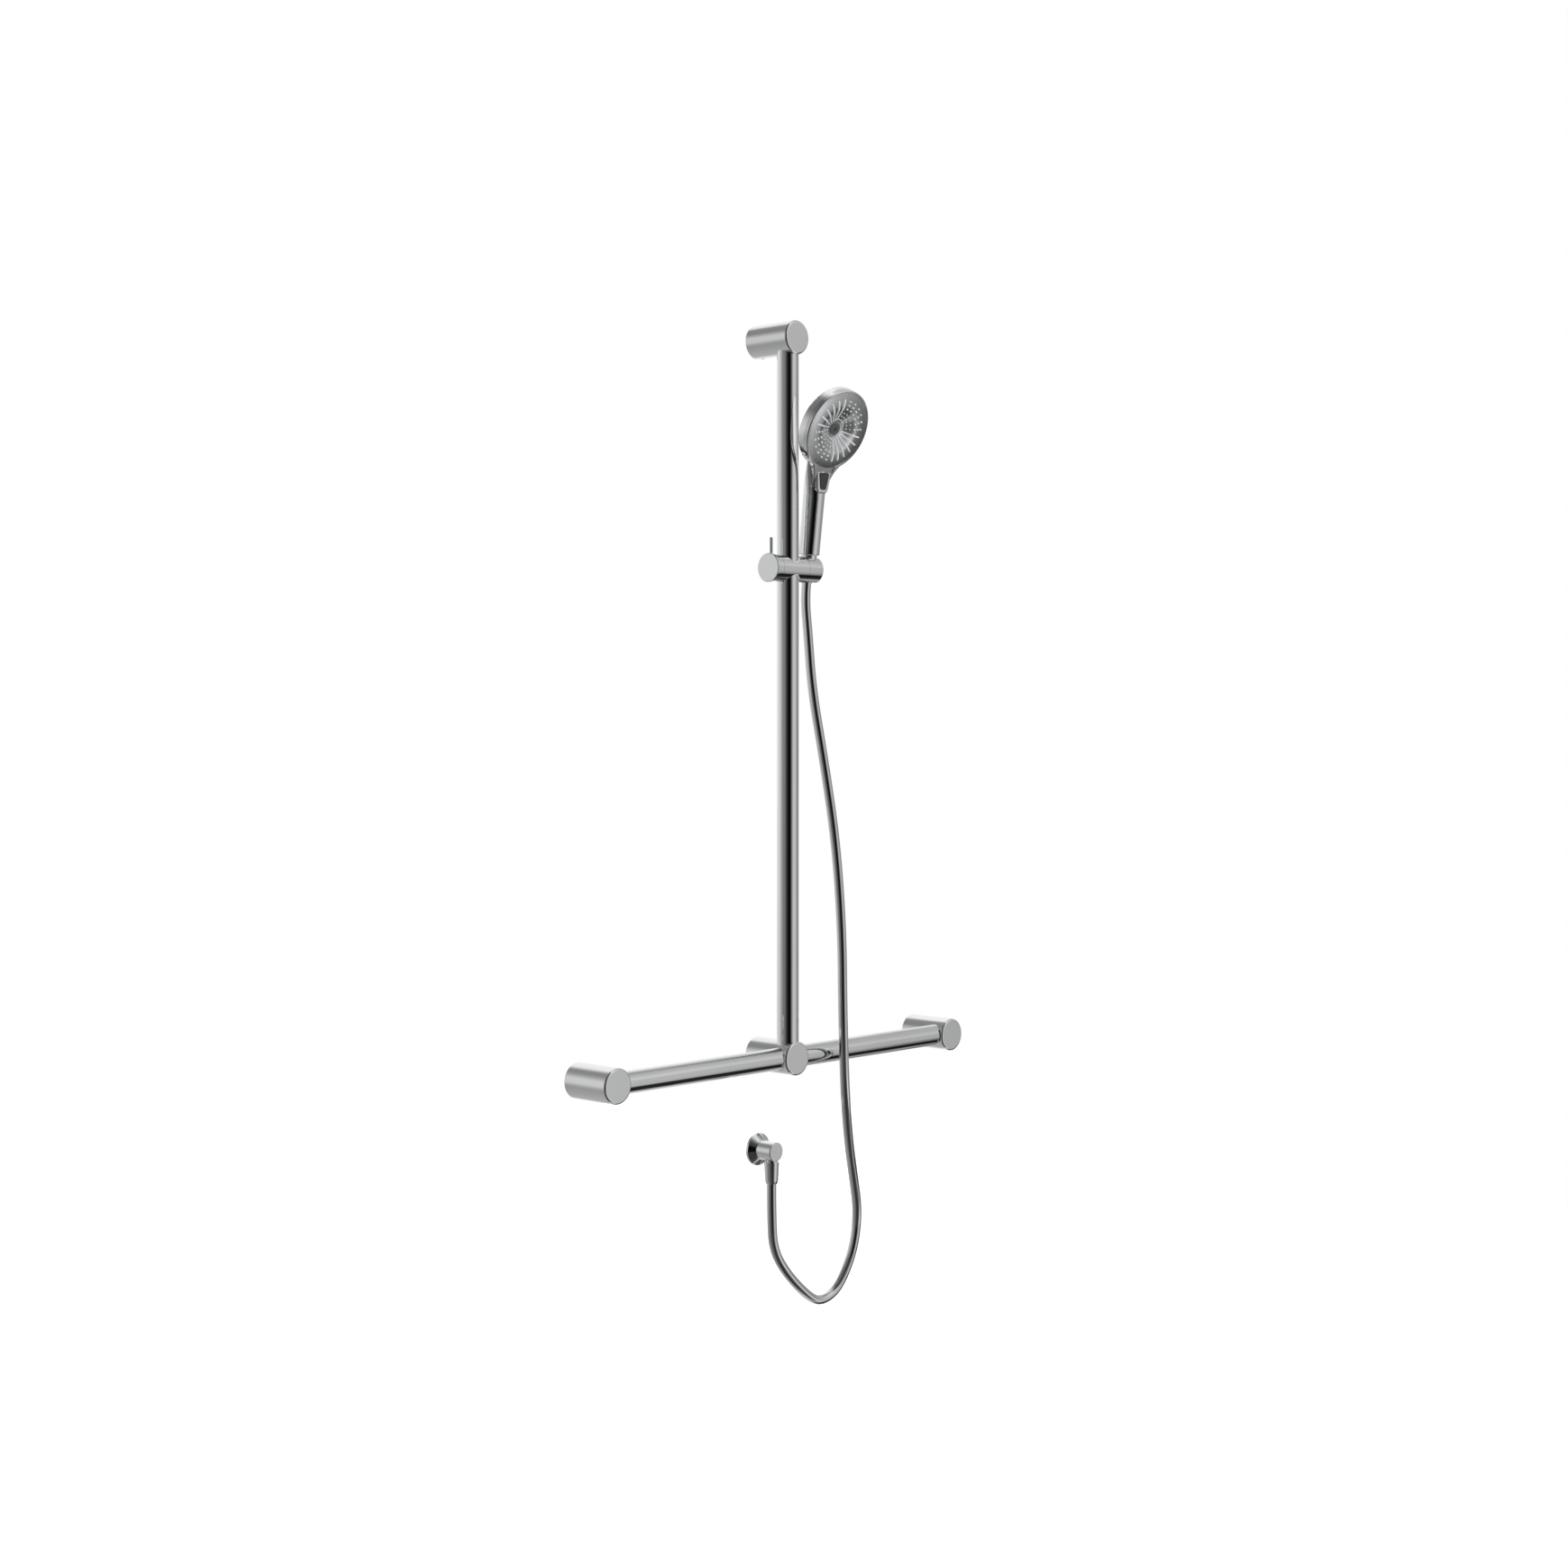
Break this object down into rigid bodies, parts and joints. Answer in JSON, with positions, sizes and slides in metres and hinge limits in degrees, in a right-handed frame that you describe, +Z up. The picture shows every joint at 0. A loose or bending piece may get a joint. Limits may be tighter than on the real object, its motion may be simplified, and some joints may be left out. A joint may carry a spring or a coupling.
{
  "type": "shower slide rail",
  "caption": "Chrome shower slide rail standing on a horizontal grab rail, with a sliding tilting holder, a round hand shower and a hose to a wall outlet.",
  "frame": {"origin": "centre of the middle post's wall face, on the wall plane", "axes": "+Z up along the upright rail, +X to the right along the grab rail, +Y into the wall, so the front is -Y"},
  "size_m": [0.749, 0.1462, 1.4448],
  "materials": {
    "chrome": "bright chrome plating",
    "plated_plastic": "chrome plated plastic",
    "hose_skin": "smooth metallic hose under a clear skin",
    "steel": "plain stainless steel",
    "brass": "plain turned brass",
    "bearing_plastic": "white acetal",
    "plate_grey": "satin grey plastic",
    "dark_plastic": "satin dark grey plastic",
    "nozzle_rubber": "light grey silicone rubber",
    "seal_rubber": "black rubber"
  },
  "bodies": {
    "upright": {"vertical_rail": "chrome", "top_post": "chrome", "middle_post": "chrome", "top_anchor": "steel", "middle_anchor": "steel", "top_rail_screw": "steel", "middle_rail_screw": "steel", "top_anchor_screw": "steel", "middle_anchor_screw": "steel", "rail_bush": "bearing_plastic", "slide_lock_screw": "steel", "outlet_rosette": "chrome", "outlet_seal": "seal_rubber", "outlet_elbow": "chrome", "wall_nut": "chrome", "wall_stem": "brass", "wall_washer": "seal_rubber", "shower_hose": "hose_skin"},
    "grab_rail": {"horizontal_rail": "chrome", "left_post": "chrome", "right_post": "chrome", "left_anchor": "steel", "right_anchor": "steel", "left_rail_screw": "steel", "right_rail_screw": "steel", "left_anchor_screw": "steel", "right_anchor_screw": "steel"},
    "slider": {"slider_body": "chrome", "rail_liner": "bearing_plastic", "brake_shoe": "bearing_plastic", "friction_washer": "bearing_plastic"},
    "knob": {"clamp_knob": "chrome", "knob_lever": "chrome", "clamp_stud": "steel"},
    "holder": {"handset_holder": "chrome", "holder_screw": "steel", "handset_shell": "plated_plastic", "handset_inlet": "brass", "handset_washer": "seal_rubber", "handset_nut": "chrome", "handset_stem": "brass", "face_plate": "plate_grey", "centre_disc": "dark_plastic", "nozzle_tips": "nozzle_rubber", "button_spring": "steel"},
    "button": {"spray_button": "dark_plastic"}
  },
  "joints": [
    {"name": "grab_rail_slide", "type": "slide", "parent": "upright", "child": "grab_rail", "axis": [1, 0, 0], "range_m": [-0.295, 0.295]},
    {"name": "slider_height", "type": "slide", "parent": "upright", "child": "slider", "axis": [0, 0, 1], "range_m": [-0.567, 0.286], "deforming": ["shower_hose"]},
    {"name": "clamp_turn", "type": "hinge", "parent": "slider", "child": "knob", "pos_m": [0, -0.0615, 0.707], "axis": [1, 0, 0], "range_deg": [0, 90]},
    {"name": "holder_tilt", "type": "hinge", "parent": "slider", "child": "holder", "pos_m": [0, -0.0615, 0.707], "axis": [1, 0, 0], "range_deg": [-2, 40], "deforming": ["shower_hose"]},
    {"name": "button_press", "type": "slide", "parent": "holder", "child": "button", "axis": [0, 0.9932, 0.1167], "range_m": [0, 0.0015], "stiffness_N_per_m": 600, "deforming": ["button_spring"]}
  ]
}
